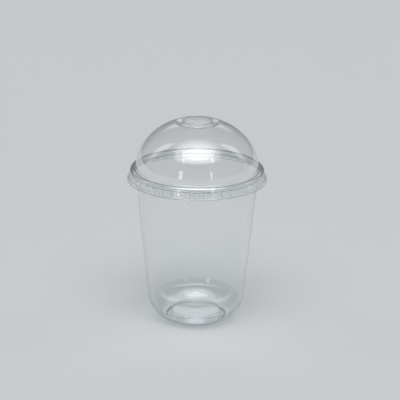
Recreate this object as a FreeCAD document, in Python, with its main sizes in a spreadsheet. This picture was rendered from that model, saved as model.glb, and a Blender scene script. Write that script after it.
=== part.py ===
# A clear thermoformed drink cup with a push-on dome lid, in millimetres.
# The origin is the middle of the foot, on the surface that the cup stands on, and +Z is up.
# Each piece is one sheet of clear plastic drawn over a mould, so each is drawn here the way
# its mould is: a half outline of the outer surface, given the sheet's gauge and turned once
# round the axis. The lid's skirt then gets its ring of snap lugs.
# Every face that goes right round takes hundreds of facets, so the round stretches of an
# outline are a few straight legs, placed by a formula: tangents of the curl and the bead,
# and chords of the dome.
import FreeCAD
import Part
import os
import Sketcher

# Driving sizes. Radii are measured from the axis to the outer surface.
SIZES = {
    # Cup: rim and wall
    "cup_height": 116.5,
    "cup_gauge": 0.35,
    "rim_radius": 49.0,
    "curl_width": 3.9,
    "wall_low_radius": 36.0,
    "wall_low_height": 16.0,
    # Cup: stacking ledge, bowl under it, foot ring and raised base panel
    "ledge_radius": 33.2,
    "ledge_height": 9.8,
    "ledge_width": 0.8,
    "ledge_rise": 0.3,
    "foot_radius": 24.5,
    "foot_width": 4.2,
    "foot_slope": 2.5,
    "panel_height": 4.1,
    # Lid: bead over the rim, skirt and flange
    "lid_gauge": 0.3,
    "fit_clearance": 0.2,
    "skirt_depth": 8.2,
    "skirt_flare": 1.2,
    "flange_width": 0.75,
    # Lid: dome, a quarter ellipse cut short by the crown's ridge, and the straw hole's lip
    "dome_rise": 36.8,
    "ridge_radius": 16.25,
    "moat_depth": 1.3,
    "moat_slope": 3.2,
    "hole_radius": 10.2,
    "lip_width": 0.4,
    "lip_slope": 0.4,
    "lip_height": 2.1,
    # Lid: snap lugs pressed inwards from the skirt
    "lug_count": 48,
    "lug_width": 3.3,
    "lug_height": 3.6,
    "lug_ledge": 1.5,
    "lug_drop": 3.4,
    "lug_clearance": 0.25,
}
DOME_LEGS = 4

os.makedirs("parts", exist_ok=True)
doc = FreeCAD.newDocument("cup_with_dome_lid")
sheet = doc.addObject("Spreadsheet::Sheet", "sizes")
for row, (alias, size) in enumerate(SIZES.items(), start=1):
    sheet.set("A%d" % row, alias)
    sheet.set("B%d" % row, str(size))
    sheet.setAlias("B%d" % row, alias)
doc.recompute()

# Formulas on the sheet that several outlines or features use. The lid's channel goes over
# the rim curl with one clearance all round, so both bends share a centre.
CURL_CENTRE = ("sizes.rim_radius - sizes.curl_width / 2",
               "sizes.cup_height - sizes.curl_width / 2")
BEAD_GAP = "(sizes.fit_clearance + sizes.lid_gauge)"
BEAD_BEND = "(sizes.curl_width / 2 + %s)" % BEAD_GAP
BEAD_TOP = "(sizes.cup_height + %s)" % BEAD_GAP
BEAD_SIDE = "(sizes.rim_radius + %s)" % BEAD_GAP
SKIRT_FOOT = "(%s - sizes.skirt_depth)" % BEAD_TOP
LUG_TOP = "(%s - sizes.lug_drop)" % BEAD_TOP


def value(formula):
    """The number that a formula on the sheet gives now."""
    return float(sheet.evalExpression(formula))


def origin_feature(body, role):
    """One of a body's own origin planes or axes, found by its role."""
    return next(item for item in body.Origin.OriginFeatures if item.Role == role)


def ellipse_point(centre, across, up, angle):
    """Formulas for the point of an ellipse about a centre at an angle."""
    return "%s + %s * cos(%s)" % (centre[0], across, angle), "%s + %s * sin(%s)" % (
        centre[1], up, angle)


def octagon_points(centre, bend, angles):
    """Formulas for corners of the octagon whose sides touch a circle of this bend radius."""
    corner = "%s / cos(22.5 deg)" % bend
    return [ellipse_point(centre, corner, corner, "%g deg" % angle) for angle in angles]


def pin(sketch, kind, geometry, end, formula):
    """Hold one coordinate of a sketch point at the value of a formula."""
    if abs(value(formula)) < 1e-9:
        axis = {"DistanceX": -2, "DistanceY": -1}[kind]
        sketch.addConstraint(Sketcher.Constraint("PointOnObject", geometry, end, axis))
        return
    constraint = Sketcher.Constraint(kind, -1, 1, geometry, end, value(formula))
    index = sketch.addConstraint(constraint)
    sketch.setExpression("Constraints[%d]" % index, formula)


def draw(sketch, points, closed=False):
    """Straight legs through points given as formulas, with each point held at its place."""
    spots = [FreeCAD.Vector(value(across), value(up), 0) for across, up in points]
    ends = list(range(1, len(points))) + [0] * closed
    legs = [sketch.addGeometry(Part.LineSegment(spots[k], spots[end]), False)
            for k, end in enumerate(ends)]
    for k, leg in enumerate(legs):
        pin(sketch, "DistanceX", leg, 1, points[k][0])
        pin(sketch, "DistanceY", leg, 1, points[k][1])
        if k:
            sketch.addConstraint(Sketcher.Constraint("Coincident", legs[k - 1], 2, leg, 1))
    if closed:
        sketch.addConstraint(Sketcher.Constraint("Coincident", legs[-1], 2, legs[0], 1))
    else:
        pin(sketch, "DistanceX", legs[-1], 2, points[-1][0])
        pin(sketch, "DistanceY", legs[-1], 2, points[-1][1])


def formed_sheet(name, points, gauge):
    """A sheet of even gauge whose outer surface is an open outline turned round the axis."""
    outline = doc.addObject("Sketcher::SketchObject", name + "_outline")
    outline.Placement.Rotation = FreeCAD.Rotation(FreeCAD.Vector(1, 0, 0), 90)
    draw(outline, points)
    section = doc.addObject("Part::Offset2D", name + "_section")
    section.Source = outline
    section.setExpression("Value", gauge)
    section.Mode = "Skin"
    section.Join = "Intersection"
    section.Fill = True
    turned = doc.addObject("Part::Revolution", name)
    turned.Source = section
    turned.Axis = FreeCAD.Vector(0, 0, 1)
    turned.Angle = 360
    turned.Solid = True
    return turned


def make_cup():
    """The cup, outlined from the middle of its base to the tucked-in end of its rim curl."""
    foot_inside = "sizes.foot_radius - sizes.foot_width"
    curl_bend = "(sizes.curl_width / 2 - sizes.cup_gauge)"
    points = [
        ("0", "sizes.panel_height"),
        (foot_inside + " - sizes.foot_slope", "sizes.panel_height"),
        (foot_inside, "0"),
        ("sizes.foot_radius", "0"),
        ("sizes.ledge_radius", "sizes.ledge_height"),
        ("sizes.ledge_radius + sizes.ledge_width", "sizes.ledge_height + sizes.ledge_rise"),
        ("sizes.wall_low_radius", "sizes.wall_low_height"),
    ]
    points += octagon_points(CURL_CENTRE, curl_bend, [157.5 - 45 * k for k in range(6)])
    return formed_sheet("cup", points, "sizes.cup_gauge")


def make_lid_sheet():
    """The lid without lugs, outlined from its flange over bead and dome to the straw hole."""
    skirt_side = BEAD_SIDE + " + sizes.skirt_flare"
    dome_foot = "(sizes.rim_radius - sizes.curl_width)"
    dome_end = "acos(sizes.ridge_radius / %s)" % dome_foot
    moat_floor = "%s + sizes.dome_rise * sin(%s) - sizes.moat_depth" % (BEAD_TOP, dome_end)
    lip_radius = "sizes.hole_radius + sizes.lip_width"
    lip_top = moat_floor + " + sizes.lip_height"
    points = [
        (skirt_side + " + sizes.flange_width", SKIRT_FOOT),
        (skirt_side, SKIRT_FOOT),
    ]
    points += octagon_points(CURL_CENTRE, BEAD_BEND, [22.5, 67.5])
    points += [ellipse_point(("0", BEAD_TOP), dome_foot, "sizes.dome_rise",
                             "%g * %s" % (k / DOME_LEGS, dome_end))
               for k in range(DOME_LEGS + 1)]
    points += [
        ("sizes.ridge_radius - sizes.moat_slope", moat_floor),
        (lip_radius + " + sizes.lip_slope", moat_floor),
        (lip_radius, lip_top),
        ("sizes.hole_radius", lip_top),
    ]
    return formed_sheet("lid_sheet", points, "sizes.lid_gauge")


def skirt_radius(height):
    """Formula for the skirt's outer radius at a height, on the line from bead to flange."""
    skirt_top = "(%s - %s + %s * tan(22.5 deg))" % (BEAD_TOP, BEAD_BEND, BEAD_BEND)
    run = "(%s - (%s)) / (%s - %s)" % (skirt_top, height, skirt_top, SKIRT_FOOT)
    return "%s + sizes.skirt_flare * %s" % (BEAD_SIDE, run)


def draw_lug(body, name, inset, reach):
    """Side view of a lug, a triangle on the skirt whose inner edge just clears the cup's rim.

    The inset draws in its edge, top and foot. The reach is how far its base goes out past
    the skirt's outer surface.
    """
    sketch = body.newObject("Sketcher::SketchObject", name)
    sketch.AttachmentSupport = [(origin_feature(body, "XZ_Plane"), "")]
    sketch.MapMode = "FlatFace"
    top = "%s - %s" % (LUG_TOP, inset)
    foot = "%s - sizes.lug_height + %s" % (LUG_TOP, inset)
    draw(sketch, [
        ("sizes.rim_radius + sizes.lug_clearance + " + inset, LUG_TOP + " - sizes.lug_ledge"),
        ("%s + %s" % (skirt_radius(foot), reach), foot),
        ("%s + %s" % (skirt_radius(top), reach), top),
    ], closed=True)
    return sketch


def make_dome_lid():
    """The lid with its lugs: a wedge inside the skirt, hollowed from outside, and repeated."""
    body = doc.addObject("PartDesign::Body", "dome_lid")
    body.BaseFeature = make_lid_sheet()
    bump = body.newObject("PartDesign::Pad", "lug_bump")
    bump.Profile = draw_lug(body, "bump_side", "0", "-0.5 * sizes.lid_gauge")
    bump.setExpression("Length", "sizes.lug_width")
    dent = body.newObject("PartDesign::Pocket", "lug_dent")
    dent.Profile = draw_lug(body, "dent_side", "sizes.lid_gauge", "sizes.lid_gauge")
    dent.setExpression("Length", "sizes.lug_width - 2 * sizes.lid_gauge")
    for feature in (bump, dent):
        feature.Midplane = True
    ring = body.newObject("PartDesign::PolarPattern", "lug_ring")
    ring.Originals = [bump, dent]
    ring.Axis = (origin_feature(body, "Z_Axis"), [""])
    ring.Angle = 360
    ring.setExpression("Occurrences", "sizes.lug_count")
    body.Tip = ring
    return body


nodes = [make_cup(), make_dome_lid()]
doc.recompute()
for item in doc.Objects:
    if "Invalid" in item.State or "Error" in item.State:
        raise RuntimeError("%s could not be rebuilt" % item.Label)
for node in nodes:
    if node.Shape.isNull() or not node.Shape.isValid() or len(node.Shape.Solids) != 1:
        raise RuntimeError("%s is not one sound solid" % node.Label)
for node in nodes:
    node.Shape.exportStep("parts/%s.step" % node.Label)
    print(node.Label, "volume %.0f mm3" % node.Shape.Volume, node.Shape.BoundBox)
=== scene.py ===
# %% [markdown]
# # A clear drink cup with a push-on dome lid
#
# The real thing is two thin sheets of clear PET, a glassy plastic. Each sheet was heated until
# it sagged and then drawn over a mould, so it has one thin wall everywhere, soft corners, and
# no flat colour of its own. What the eye sees is its edges, where it looks through the sheet
# sideways, and the bright shapes that the sheet reflects.
#
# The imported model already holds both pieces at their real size, with round stretches as a few
# straight legs. Here each piece is turned again from a truly round outline.

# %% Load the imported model
import math
import bmesh
import bpy
from mathutils import Matrix, Vector


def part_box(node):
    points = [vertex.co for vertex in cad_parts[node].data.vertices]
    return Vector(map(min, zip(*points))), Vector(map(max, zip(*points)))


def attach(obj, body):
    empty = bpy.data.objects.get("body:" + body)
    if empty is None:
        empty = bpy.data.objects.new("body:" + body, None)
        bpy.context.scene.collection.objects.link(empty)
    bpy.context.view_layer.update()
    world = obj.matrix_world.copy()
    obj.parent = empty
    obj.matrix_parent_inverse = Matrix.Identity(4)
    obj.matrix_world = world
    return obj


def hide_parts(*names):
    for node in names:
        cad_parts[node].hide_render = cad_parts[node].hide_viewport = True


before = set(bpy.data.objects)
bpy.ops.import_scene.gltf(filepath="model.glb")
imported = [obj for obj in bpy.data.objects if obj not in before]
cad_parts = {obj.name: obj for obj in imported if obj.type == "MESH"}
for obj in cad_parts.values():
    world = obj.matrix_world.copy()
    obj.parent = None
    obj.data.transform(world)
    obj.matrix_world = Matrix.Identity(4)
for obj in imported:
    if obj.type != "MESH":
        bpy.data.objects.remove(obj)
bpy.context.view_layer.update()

# %% [markdown]
# ## Sizes
#
# The sizes that the two pieces share come first, in metres. Radii are measured from the axis to
# the outer surface of a sheet. The rim's roll and the lid's bead over it have one centre, with
# the lid's sheet a small clearance outside the roll.
#
# The lid's snap lugs repeat round the skirt, so both pieces are turned in a whole number of
# columns for each lug. Each lug then starts and ends at a row of vertices.

# %% Sizes that cup and lid share
MM = 0.001
CUP_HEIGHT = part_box("cup")[1].z
LID_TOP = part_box("dome_lid")[1].z
RIM_RADIUS = 49.0 * MM
CUP_GAUGE = 0.35 * MM
LID_GAUGE = 0.3 * MM
ROLL_RADIUS = 1.95 * MM
FIT_CLEARANCE = 0.2 * MM
ROLL_CENTRE = Vector((RIM_RADIUS - ROLL_RADIUS, 0, CUP_HEIGHT - ROLL_RADIUS))
BEAD_RADIUS = ROLL_RADIUS + FIT_CLEARANCE + LID_GAUGE
BEAD_TOP = ROLL_CENTRE.z + BEAD_RADIUS
print("bead top at %.2f mm" % (BEAD_TOP / MM))

# %% Columns round the axis
LUG_COUNT = 48
COLUMNS_A_LUG = 8
COLUMNS = LUG_COUNT * COLUMNS_A_LUG
print(COLUMNS, "columns of", 360 / COLUMNS, "degrees")

# %% [markdown]
# ## Drawing an outline
#
# A mould for a cup is cut on a lathe, so the outline is drawn once beside the axis and then spun
# round it. It could be a circle that is extruded and scaled ring by ring, but an outline shows
# each corner once. The outline starts as a plane merged to one vertex. It grows by extruding
# that vertex along straight runs.


# %% Places, and straight runs
def at(radius, height):
    """A point of an outline, from millimetres."""
    return Vector((radius * MM, 0, height * MM))


def start_outline(name, point):
    """A new piece in edit mode that holds one vertex, selected."""
    bpy.ops.object.select_all(action="DESELECT")
    bpy.ops.mesh.primitive_plane_add(size=MM, location=point)
    piece = bpy.context.object
    piece.name = name
    piece.data.name = name
    bpy.ops.object.transform_apply(location=True, rotation=True, scale=True)
    bpy.ops.object.mode_set(mode="EDIT")
    bpy.ops.mesh.select_all(action="SELECT")
    bpy.ops.mesh.merge(type="CENTER")
    print(name, "starts at", [round(v / MM, 2) for v in point])
    return piece


def tip(piece):
    """The selected end of the outline."""
    mesh = bmesh.from_edit_mesh(piece.data)
    return next(v.co.copy() for v in mesh.verts if v.select)


def run_to(piece, *points):
    """Straight runs from the selected end to each point in turn."""
    for point in points:
        step = point - tip(piece)
        bpy.ops.mesh.extrude_vertices_move(TRANSFORM_OT_translate={"value": step})


# %% [markdown]
# The mould's round stretches are true arcs, made by spinning the end vertex about a centre. The
# spin tool counts its angle the other way round from a drawing of the XZ plane, so the arcs turn
# about +Y. Where only the ends of a curve are known, a third point half way along it fixes the
# circle.


# %% Arcs
def on_circle(centre, radius, angle):
    """The point of a circle in the XZ plane at an angle in degrees above +X."""
    turn = math.radians(angle)
    return centre + Vector((radius * math.cos(turn), 0, radius * math.sin(turn)))


def arc_about(centre, degrees, steps):
    """An arc from the selected end about a centre; positive degrees turn from +X towards +Z."""
    bpy.ops.mesh.spin(steps=steps, angle=math.radians(degrees), center=centre,
                      axis=(0, 1, 0))
    print("an arc of %.1f degrees in %d steps" % (degrees, steps))


def arc_through(piece, middle, end, steps):
    """An arc from the selected end through a middle point to an end point."""
    start = tip(piece)
    a, b = middle - start, end - start
    turn = 2 * (a.x * b.z - a.z * b.x)
    centre = start + Vector(((b.z * a.dot(a) - a.z * b.dot(b)) / turn, 0,
                             (a.x * b.dot(b) - b.x * a.dot(a)) / turn))
    first, last = start - centre, end - centre
    degrees = math.degrees(math.atan2(first.x * last.z - first.z * last.x, first.dot(last)))
    arc_about(centre, degrees, steps)


# %% [markdown]
# A drawn sheet never has a sharp corner, so each corner of the outline gets a vertex bevel. A
# bevel modifier could round the finished sheet, but it would round the inner and outer corner
# alike. Rounded here, before the sheet has its gauge, the two stay one gauge apart.

# %% Corners
SAME_SPOT = 0.01 * MM
BEND_SEGMENTS = 4


def choose(piece, kind, test):
    """Select only the verts, edges or faces that pass a test."""
    bpy.ops.mesh.select_all(action="DESELECT")
    mesh = bmesh.from_edit_mesh(piece.data)
    chosen = [item for item in getattr(mesh, kind) if test(item)]
    for item in chosen:
        item.select_set(True)
    mesh.select_flush(True)
    bmesh.update_edit_mesh(piece.data)
    return len(chosen)


def choose_vertex(piece, point):
    """Select the one vertex of the outline that lies at a point."""
    found = choose(piece, "verts", lambda v: (v.co - point).length < SAME_SPOT)
    assert found == 1, "no single vertex at %s" % point


def round_corners(piece, corners):
    """Round the outline at corners; each starts a reach in millimetres away along its legs."""
    for corner, reach in corners:
        choose_vertex(piece, corner)
        bpy.ops.mesh.bevel(affect="VERTICES", offset=reach * MM, offset_type="OFFSET",
                           segments=BEND_SEGMENTS)
    print(piece.name, "has", len(corners), "rounded corners")


# %% [markdown]
# ## Turning the outline, and giving it a gauge
#
# The spin goes once round the axis, and merging doubles closes its seam and the pole in the
# middle of the cup's base. Making the normals consistent then turns all faces alike, but it can
# turn them all inwards, because the farthest face is inside the rim's roll. The outline's own
# area decides: most of a cup's sheet faces away from its axis.
#
# The gauge comes last, from a Solidify that grows inwards only, since the mould gives the outer
# surface. It could be drawn as a second outline, but then each size would be set twice.

# %% Turn and thicken
SEAM_GAP = 0.002 * MM
SMOOTH_BEND = 40


def outward_share(piece):
    """How much of the sheet faces away from the axis, from -1 to 1, by area."""
    outward = total = 0
    for face in bmesh.from_edit_mesh(piece.data).faces:
        away = Vector((*face.calc_center_median().xy, 0)).normalized()
        outward += face.calc_area() * face.normal.dot(away)
        total += face.calc_area()
    return outward / total


def turn_about_axis(piece):
    """Spin the outline once round the axis, close seam and pole, and face the sheet outwards."""
    bpy.ops.mesh.select_all(action="SELECT")
    bpy.ops.mesh.spin(steps=COLUMNS, angle=2 * math.pi, center=(0, 0, 0), axis=(0, 0, 1))
    bpy.ops.mesh.select_all(action="SELECT")
    bpy.ops.mesh.remove_doubles(threshold=SEAM_GAP)
    bpy.ops.mesh.normals_make_consistent(inside=False)
    if outward_share(piece) < 0:
        bpy.ops.mesh.flip_normals()
    print(piece.name, "has", len(bmesh.from_edit_mesh(piece.data).faces), "faces when turned,",
          "outward share %.2f" % outward_share(piece))


def give_gauge(piece, gauge):
    """Thicken the turned surface inwards to a sheet, and shade it smooth."""
    bpy.ops.object.mode_set(mode="OBJECT")
    sheet = piece.modifiers.new("gauge", "SOLIDIFY")
    sheet.thickness = gauge
    sheet.offset = -1
    sheet.use_even_offset = True
    bpy.ops.object.modifier_apply(modifier=sheet.name)
    bpy.ops.object.shade_smooth_by_angle(angle=math.radians(SMOOTH_BEND))
    print(piece.name, "has", len(piece.data.polygons), "faces as a sheet")


# %% [markdown]
# ## The cup
#
# From the middle of its base: a small moulding pip, the raised panel, the foot ring that it
# stands on, the round lower bowl, the narrow ledge that keeps stacked cups apart, a bend into
# the straight wall, and the rim, which is rolled outwards and down so that it is stiff and has
# no cutting edge. The ledge could be a groove cut later, but in a drawn sheet it is one more
# step of the outline. It is only 0.8 mm wide, and it shows as a bright ring.

# %% Places on the cup's outline
CUP_PANEL = 4.1
PIP_MIDDLE = at(0, CUP_PANEL + 0.5)
PIP_EDGE = at(0.7, CUP_PANEL + 0.5)
PIP_FOOT = at(1.3, CUP_PANEL)
PANEL_EDGE = at(17.8, CUP_PANEL)
FOOT_INSIDE = at(20.3, 0)
FOOT_OUTSIDE = at(24.5, 0)
BOWL_MIDDLE = at(29.7, 4.35)
LEDGE = at(33.2, 9.8)
LEDGE_EDGE = at(34.0, 10.1)
BEND_MIDDLE = at(35.3, 13.0)
WALL_FOOT = at(36.0, 16.4)
ROLL_START_ANGLE = 174.5
ROLL_START = on_circle(ROLL_CENTRE, ROLL_RADIUS - CUP_GAUGE, ROLL_START_ANGLE)
ROLL_TURN = -290
wall = ROLL_START - WALL_FOOT
print("the wall leans out by %.1f degrees" % math.degrees(math.atan2(wall.x, wall.z)))

# %% Draw and turn the cup
cup = start_outline("cup_sheet", PIP_MIDDLE)
run_to(cup, PIP_EDGE, PIP_FOOT, PANEL_EDGE, FOOT_INSIDE, FOOT_OUTSIDE)
arc_through(cup, BOWL_MIDDLE, LEDGE, steps=12)
run_to(cup, LEDGE_EDGE)
arc_through(cup, BEND_MIDDLE, WALL_FOOT, steps=6)
run_to(cup, ROLL_START)
arc_about(ROLL_CENTRE, ROLL_TURN, steps=24)
round_corners(cup, ((PIP_FOOT, 0.3), (PANEL_EDGE, 0.9), (FOOT_INSIDE, 0.9),
                    (FOOT_OUTSIDE, 1.3), (LEDGE, 0.25), (LEDGE_EDGE, 0.25)))
turn_about_axis(cup)
give_gauge(cup, CUP_GAUGE)

# %% [markdown]
# ## The dome lid
#
# From its flange: the skirt, the bead that goes over the rim's roll, the dome, and the crown
# with its ridge, its moat and the upstanding lip of the straw hole. The dome is lower than a
# half ball, so its arc is drawn round first and then squeezed to an ellipse. Scaling the finished
# lid instead would squeeze the bead as well.
#
# The skirt's run stops at three heights on its way, which gives the rows of faces that the lugs
# will be pressed from.

# %% Places on the skirt and bead
FLANGE_EDGE = at(51.45, 108.8)
SKIRT_FOOT = at(50.7, 108.8)
BEAD_START_ANGLE = 11.3
BEAD_START = on_circle(ROLL_CENTRE, BEAD_RADIUS, BEAD_START_ANGLE)
LUG_FOOT, LUG_TOP = 110.0 * MM, 113.6 * MM


def on_skirt(height):
    """The point of the skirt's slanting run at a height."""
    return SKIRT_FOOT.lerp(BEAD_START, (height - SKIRT_FOOT.z) / (BEAD_START.z - SKIRT_FOOT.z))


print("the skirt is %.2f mm wide at mid lug" % (on_skirt((LUG_FOOT + LUG_TOP) / 2).x / MM))

# %% Places on the dome and crown
DOME_FOOT = Vector((RIM_RADIUS - 2 * ROLL_RADIUS, 0, BEAD_TOP))
DOME_RISE = 36.8 * MM
RIDGE_RADIUS = 16.25 * MM
DOME_ANGLE = math.degrees(math.acos(RIDGE_RADIUS / DOME_FOOT.x))
RIDGE_TOP = Vector((RIDGE_RADIUS, 0, BEAD_TOP + DOME_RISE * math.sin(math.radians(DOME_ANGLE))))
CROWN_TOP = LID_TOP / MM
CROWN_MOAT = CROWN_TOP - 2.1
MOAT_OUTSIDE = at(13.05, CROWN_MOAT)
MOAT_INSIDE = at(11.0, CROWN_MOAT)
LIP_OUTSIDE = at(10.6, CROWN_TOP)
LIP_INSIDE = at(10.2, CROWN_TOP)
print("ridge at %.2f mm, moat at %.2f mm" % (RIDGE_TOP.z / MM, CROWN_MOAT))

# %% Draw and turn the lid
lid = start_outline("lid_sheet", FLANGE_EDGE)
run_to(lid, SKIRT_FOOT, on_skirt(LUG_FOOT), on_skirt((LUG_FOOT + LUG_TOP) / 2),
       on_skirt(LUG_TOP), BEAD_START)
arc_about(ROLL_CENTRE, 90 - BEAD_START_ANGLE, steps=8)
run_to(lid, DOME_FOOT)
arc_about(Vector((0, 0, BEAD_TOP)), DOME_ANGLE, steps=28)
choose(lid, "verts", lambda v: v.co.z > BEAD_TOP + SAME_SPOT)
bpy.ops.transform.resize(value=(1, 1, DOME_RISE / DOME_FOOT.x),
                         center_override=(0, 0, BEAD_TOP))
choose_vertex(lid, RIDGE_TOP)
run_to(lid, MOAT_OUTSIDE, MOAT_INSIDE, LIP_OUTSIDE, LIP_INSIDE)
round_corners(lid, ((SKIRT_FOOT, 0.35), (DOME_FOOT, 0.7), (RIDGE_TOP, 0.6),
                    (MOAT_OUTSIDE, 0.5), (MOAT_INSIDE, 0.5), (LIP_OUTSIDE, 0.2)))
turn_about_axis(lid)

# %% [markdown]
# ## The snap lugs
#
# The lid holds on by a ring of lugs that its skirt has pressed inwards, under the rim's roll.
# They could be separate blocks joined by a boolean, but the real ones are dents in one sheet, so
# the skirt's own faces are inset in groups and pushed in before the sheet gets its gauge.

# %% Press in the lugs
LUG_COLUMNS = 4
LUG_DEPTH = 0.75 * MM
LUG_SLOPE = 0.45 * MM


def in_lug(face):
    """True for a face of the skirt that lies in one of the lugs."""
    middle = face.calc_center_median()
    column = math.degrees(math.atan2(middle.y, middle.x)) / 360 * COLUMNS
    offset = (column + COLUMNS_A_LUG / 2) % COLUMNS_A_LUG - COLUMNS_A_LUG / 2
    return LUG_FOOT < middle.z < LUG_TOP and abs(offset) < LUG_COLUMNS / 2


bpy.ops.mesh.select_mode(type="FACE")
print("faces in lugs:", choose(lid, "faces", in_lug))
bpy.ops.mesh.inset(thickness=LUG_SLOPE, depth=-LUG_DEPTH, use_individual=False)
bpy.ops.mesh.select_mode(type="VERT")
give_gauge(lid, LID_GAUGE)

# %% [markdown]
# ## Clear PET
#
# Drawn PET sheet is glossy and clear, with a refractive index of 1.575, and it is very slightly
# grey. Drawing leaves faint waves a few millimetres wide, where the sheet cooled unevenly, and
# handling leaves a little haze. The waves are a bump from stretched noise, and the haze is a
# small change of roughness.
#
# Two things can't come from the surface alone. Seen along its edge, even clear sheet is grey,
# because the light has come a long way through it, so the inside of the sheet absorbs a little.
# Light also passes a thin sheet almost straight, so for shadow rays the sheet is a pale film,
# which gives the soft grey shadow that a clear cup really has.


# %% Material helpers
def linear(hex_colour):
    """An sRGB hex colour as linear red, green, blue and alpha."""
    parts = [int(hex_colour[k:k + 2], 16) / 255 for k in (1, 3, 5)]
    return [c / 12.92 if c <= 0.04045 else ((c + 0.055) / 1.055) ** 2.4 for c in parts] + [1]


def node(tree, kind, settings=None, links=None):
    """Add a shader node; settings name its properties or sockets, links name its inputs."""
    made = tree.nodes.new(kind)
    for name, setting in (settings or {}).items():
        if isinstance(name, int) or name in made.inputs:
            made.inputs[name].default_value = setting
        else:
            setattr(made, name, setting)
    for socket, source in (links or {}).items():
        tree.links.new(source, made.inputs[socket])
    return made


def empty_material(name):
    """A new material with an empty node tree."""
    material = bpy.data.materials.new(name)
    material.use_nodes = True
    material.node_tree.nodes.clear()
    return material


# %% Values of clear PET
PET_IOR = 1.575
SHEET_TINT = linear("#FEFFFF")
SHADOW_TINT = linear("#E8EAEB")
DEPTH_TINT = linear("#CCD2D2")
# How strongly the sheet darkens with depth, for a metre; one wall takes less than 2 percent.
DEPTH_OF_COLOUR = 120
WAVE_HEIGHT = 0.03 * MM
SCUFF_WIDTH = 14 * MM
HAZE = {"To Min": 0.01, "To Max": 0.05}
print("sheet tint", [round(part, 3) for part in SHEET_TINT])


# %% Clear PET for cup and lid
def clear_pet(name, wave_width):
    """Clear drawn PET sheet; the width of its waves in metres."""
    material = empty_material(name)
    tree = material.node_tree
    place = node(tree, "ShaderNodeTexCoord").outputs["Object"]
    waves = node(tree, "ShaderNodeTexNoise", {"Scale": 1 / wave_width, "Detail": 1.0},
                 {"Vector": place})
    bump = node(tree, "ShaderNodeBump", {"Strength": 1.0, "Distance": WAVE_HEIGHT},
                {"Height": waves.outputs["Fac"]})
    scuffs = node(tree, "ShaderNodeTexNoise", {"Scale": 1 / SCUFF_WIDTH, "Detail": 3.0},
                  {"Vector": place})
    rough = node(tree, "ShaderNodeMapRange", HAZE, {"Value": scuffs.outputs["Fac"]})
    sheet = node(tree, "ShaderNodeBsdfPrincipled",
                 {"Base Color": SHEET_TINT, "IOR": PET_IOR, "Transmission Weight": 1.0},
                 {"Roughness": rough.outputs["Result"], "Normal": bump.outputs["Normal"]})
    film = node(tree, "ShaderNodeBsdfTransparent", {"Color": SHADOW_TINT})
    rays = node(tree, "ShaderNodeLightPath")
    mix = node(tree, "ShaderNodeMixShader", links={
        0: rays.outputs["Is Shadow Ray"], 1: sheet.outputs[0], 2: film.outputs[0]})
    depth = node(tree, "ShaderNodeVolumeAbsorption",
                 {"Color": DEPTH_TINT, "Density": DEPTH_OF_COLOUR})
    node(tree, "ShaderNodeOutputMaterial",
         links={"Surface": mix.outputs[0], "Volume": depth.outputs[0]})
    print(name, "has", len(tree.nodes), "nodes")
    return material


cup.data.materials.append(clear_pet("clear PET cup sheet", wave_width=9 * MM))
lid.data.materials.append(clear_pet("clear PET lid sheet", wave_width=7 * MM))

# %% [markdown]
# ## Tie the pieces to the imported model
#
# Each turned sheet stands for its plain piece of the imported model and rides on its body. The
# sheets could be children of the plain pieces, but the imported model knows which body moves, so a
# piece that rides on a body follows it in every pose.

# %% Replace the plain pieces
for piece, body, plain, slot in ((cup, "cup", "cup", "cup_plastic"),
                                 (lid, "lid", "dome_lid", "lid_plastic")):
    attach(piece, body)
    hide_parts(plain)
    print(piece.name, "rides on", body, "in place of", plain)

# %% [markdown]
# ## Studio
#
# Clear plastic shows only by what it bends and mirrors, so the room is built for it: a plain
# pale floor, a dim room, and a few soft boxes. Lamps close by could do the same, but the boxes
# are drawn in the world, where they are soft at the edge and stay put when the view changes.
# The big one overhead leans towards the camera and has a brighter middle. It lights the floor,
# and makes the white patch on the dome, the line along the bead and the glow in the base. One
# box stands at each side and gives the dome its pale wedges, and a faint one behind lights the
# far side of the crown. Two narrow strips in front make the upright streaks.

# %% Floor
FLOOR_RADIUS = 4.0


def pale_floor():
    """A round pale floor, far wider than the view."""
    bpy.ops.object.select_all(action="DESELECT")
    bpy.ops.mesh.primitive_circle_add(vertices=96, radius=FLOOR_RADIUS, fill_type="NGON")
    floor = bpy.context.object
    floor.name = "floor"
    paint = empty_material("pale matt floor")
    shader = node(paint.node_tree, "ShaderNodeBsdfPrincipled",
                  {"Base Color": linear("#C1C3C4"), "Roughness": 0.75})
    node(paint.node_tree, "ShaderNodeOutputMaterial", links={"Surface": shader.outputs[0]})
    floor.data.materials.append(paint)
    print("floor of", 2 * FLOOR_RADIUS, "m")


pale_floor()

# %% [markdown]
# A soft box is a place in the world's picture of directions. Each direction is turned until the
# box's side of the room is overhead, and then drawn out to a plane one unit up. On that plane
# the box is an oval with a soft edge, and directions that point the other way get nothing.

# %% Soft box helper
SOFT_EDGE = {"interpolation_type": "SMOOTHSTEP", "From Min": 1.35, "From Max": 0.65}


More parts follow.
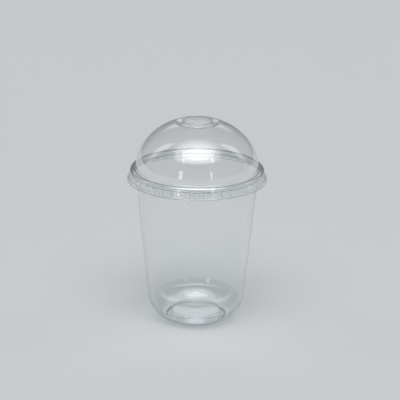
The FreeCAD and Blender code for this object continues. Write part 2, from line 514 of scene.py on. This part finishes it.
def soft_box(tree, way, turn, centre, half_size, strength):
    """Strength of a soft oval light on a plane 1 off; the turn brings its side to overhead."""
    rotation = [math.radians(angle) for angle in turn]
    turned = node(tree, "ShaderNodeMapping", {"Rotation": rotation}, {"Vector": way}).outputs[0]
    depth = node(tree, "ShaderNodeSeparateXYZ", links={"Vector": turned}).outputs["Z"]
    shrink = node(tree, "ShaderNodeMath", {"operation": "DIVIDE", 0: 1.0}, {1: depth}).outputs[0]
    spot = node(tree, "ShaderNodeVectorMath", {"operation": "SCALE"},
                {0: turned, "Scale": shrink}).outputs[0]
    oval = node(tree, "ShaderNodeMapping", {"vector_type": "TEXTURE", "Location": (*centre, 0),
                                            "Scale": (*half_size, 0)}, {"Vector": spot})
    reach = node(tree, "ShaderNodeVectorMath", {"operation": "LENGTH"}, {0: oval.outputs[0]})
    glow = node(tree, "ShaderNodeMapRange", {**SOFT_EDGE, "To Max": strength},
                {"Value": reach.outputs["Value"]}).outputs["Result"]
    ahead = node(tree, "ShaderNodeMath", {"operation": "GREATER_THAN", 1: 0.0},
                 {0: depth}).outputs[0]
    return node(tree, "ShaderNodeMath", {"operation": "MULTIPLY"}, {0: glow, 1: ahead}).outputs[0]


# %% Room light
# The room's own light, which fades from the horizon up.
ROOM_FADE = {"From Max": 0.6, "To Min": 0.15, "To Max": 0.02}
# Turn in degrees, then the centre and half size on the turned plane, and the strength.
SOFT_BOXES = {
    "overhead": ((0, 0, 0), (0, -0.56), (0.82, 0.62), 3.1),
    "middle of overhead": ((0, 0, 0), (0, -0.54), (0.46, 0.32), 3.0),
    "behind": ((60, 0, 0), (0, 0), (0.4, 0.16), 0.9),
    "left": ((0, 90, 0), (1.0, 0.29), (0.75, 0.14), 1.6),
    "right": ((0, -90, 0), (-1.0, 0.29), (0.75, 0.14), 1.6),
}


def room_light():
    """The world: dim, a little paler low down, with the soft boxes added one by one."""
    world = bpy.data.worlds.new("studio room")
    bpy.context.scene.world = world
    world.use_nodes = True
    tree = world.node_tree
    tree.nodes.clear()
    way = node(tree, "ShaderNodeTexCoord").outputs["Generated"]
    height = node(tree, "ShaderNodeSeparateXYZ", links={"Vector": way}).outputs["Z"]
    total = node(tree, "ShaderNodeMapRange", ROOM_FADE, {"Value": height}).outputs["Result"]
    for box in SOFT_BOXES.values():
        total = node(tree, "ShaderNodeMath", {"operation": "ADD"},
                     {0: total, 1: soft_box(tree, way, *box)}).outputs[0]
    glow = node(tree, "ShaderNodeBackground", {"Color": linear("#F8F9FA")}, {"Strength": total})
    node(tree, "ShaderNodeOutputWorld", links={"Surface": glow.outputs[0]})
    print("soft boxes:", ", ".join(SOFT_BOXES))


room_light()


# %% Strip lights
def strip_light(name, place, width, height, watts):
    """A tall narrow light that faces the middle of the object."""
    middle = Vector((0, 0, CUP_HEIGHT / 2))
    turn = (middle - Vector(place)).to_track_quat("-Z", "Y").to_euler()
    bpy.ops.object.light_add(type="AREA", location=place, rotation=turn)
    light = bpy.context.object
    light.name = name
    light.data.shape = "RECTANGLE"
    light.data.size = width
    light.data.size_y = height
    light.data.energy = watts
    print(name, "of", watts, "W")


strip_light("left strip", (-0.80, -1.4, 0.36), 0.16, 0.6, 0.8)
strip_light("right strip", (0.70, -1.4, 0.36), 0.10, 0.6, 0.5)

# %% [markdown]
# ## Camera
#
# The camera was fitted to the rings that show in the photograph: about a metre in front of the
# cup and 45 cm up, looking down by 19 degrees, with a long lens.

# %% Camera
IMAGE_PIXELS = 400
FOCAL_PIXELS = 1456.2
SENSOR_WIDTH = 36.0
CAMERA_PLACE = (2.36 * MM, -1017.9 * MM, 445.7 * MM)
PITCH, ROLL = math.radians(19.201), math.radians(0.617)
turn = Matrix.Rotation(math.radians(90) - PITCH, 3, "X") @ Matrix.Rotation(ROLL, 3, "Z")
bpy.ops.object.camera_add(location=CAMERA_PLACE, rotation=turn.to_euler())
camera = bpy.context.object
camera.name = "camera"
camera.data.sensor_width = SENSOR_WIDTH
camera.data.lens = FOCAL_PIXELS / IMAGE_PIXELS * SENSOR_WIDTH
camera.data.clip_end = 20
bpy.context.scene.camera = camera
print("lens of %.1f mm" % camera.data.lens)

# %% [markdown]
# A ray through the lid's skirt and the cup's rim passes many sheets, each with two surfaces, so
# the number of bounces is raised. With the usual number, the places where sheets lie behind one
# another would turn dark.

# %% Colours as written, and enough bounces
LIGHT_BOUNCES = 24
scene = bpy.context.scene
scene.view_settings.view_transform = "Standard"
scene.cycles.max_bounces = LIGHT_BOUNCES
scene.cycles.transmission_bounces = LIGHT_BOUNCES
scene.cycles.transparent_max_bounces = LIGHT_BOUNCES
print("bounces", LIGHT_BOUNCES)
